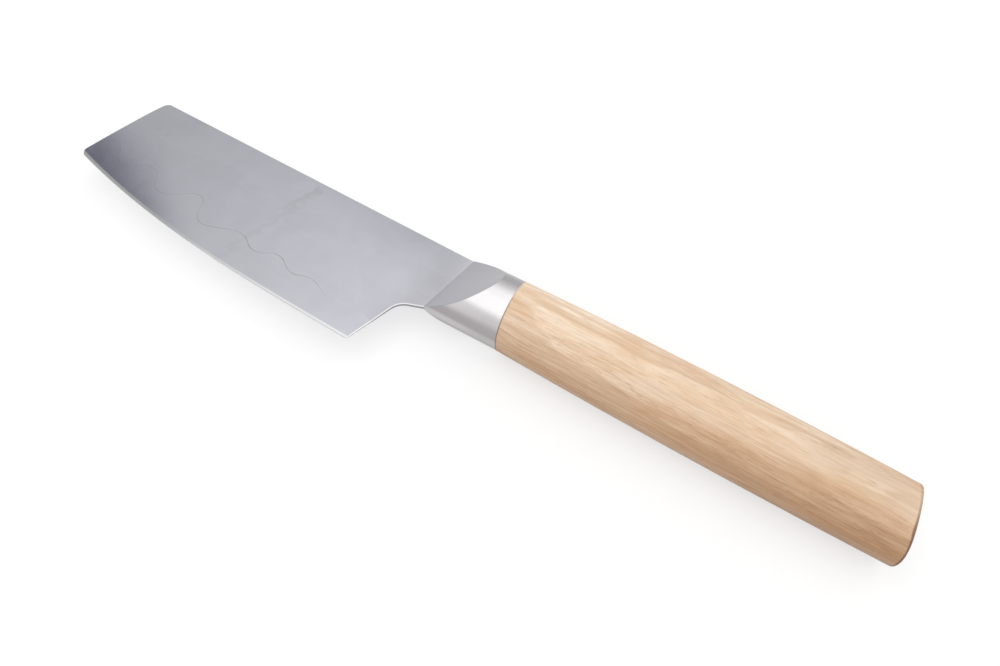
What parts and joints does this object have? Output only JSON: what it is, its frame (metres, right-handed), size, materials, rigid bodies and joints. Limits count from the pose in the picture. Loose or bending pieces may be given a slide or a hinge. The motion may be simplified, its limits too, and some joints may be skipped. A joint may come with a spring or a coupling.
{
  "type": "nakiri knife",
  "caption": "Vegetable knife with a tall straight blade of two brazed steels, a ground steel bolster and an oval light wood handle, lying on its side.",
  "frame": {"origin": "bottom centre of the bounding box, with the knife lying on its side", "axes": "+X from the blade's front to the handle's butt, +Y from the cutting edge to the spine, +Z out of the upper side of the blade"},
  "size_m": [0.3168, 0.052, 0.0207],
  "materials": {
    "blade_steel": "satin ground",
    "cutting_steel": "satin ground, bright at the bevel",
    "braze_metal": "dull, worn flush",
    "bolster_steel": "satin brushed",
    "tang_steel": "as rolled",
    "handle_wood": "smooth, sealed, fine grain along the knife"
  },
  "bodies": {
    "root": {"blade_body": "blade_steel", "edge_steel": "cutting_steel", "braze_seam": "braze_metal", "bolster": "bolster_steel", "tang": "tang_steel", "handle": "handle_wood"}
  },
  "joints": []
}
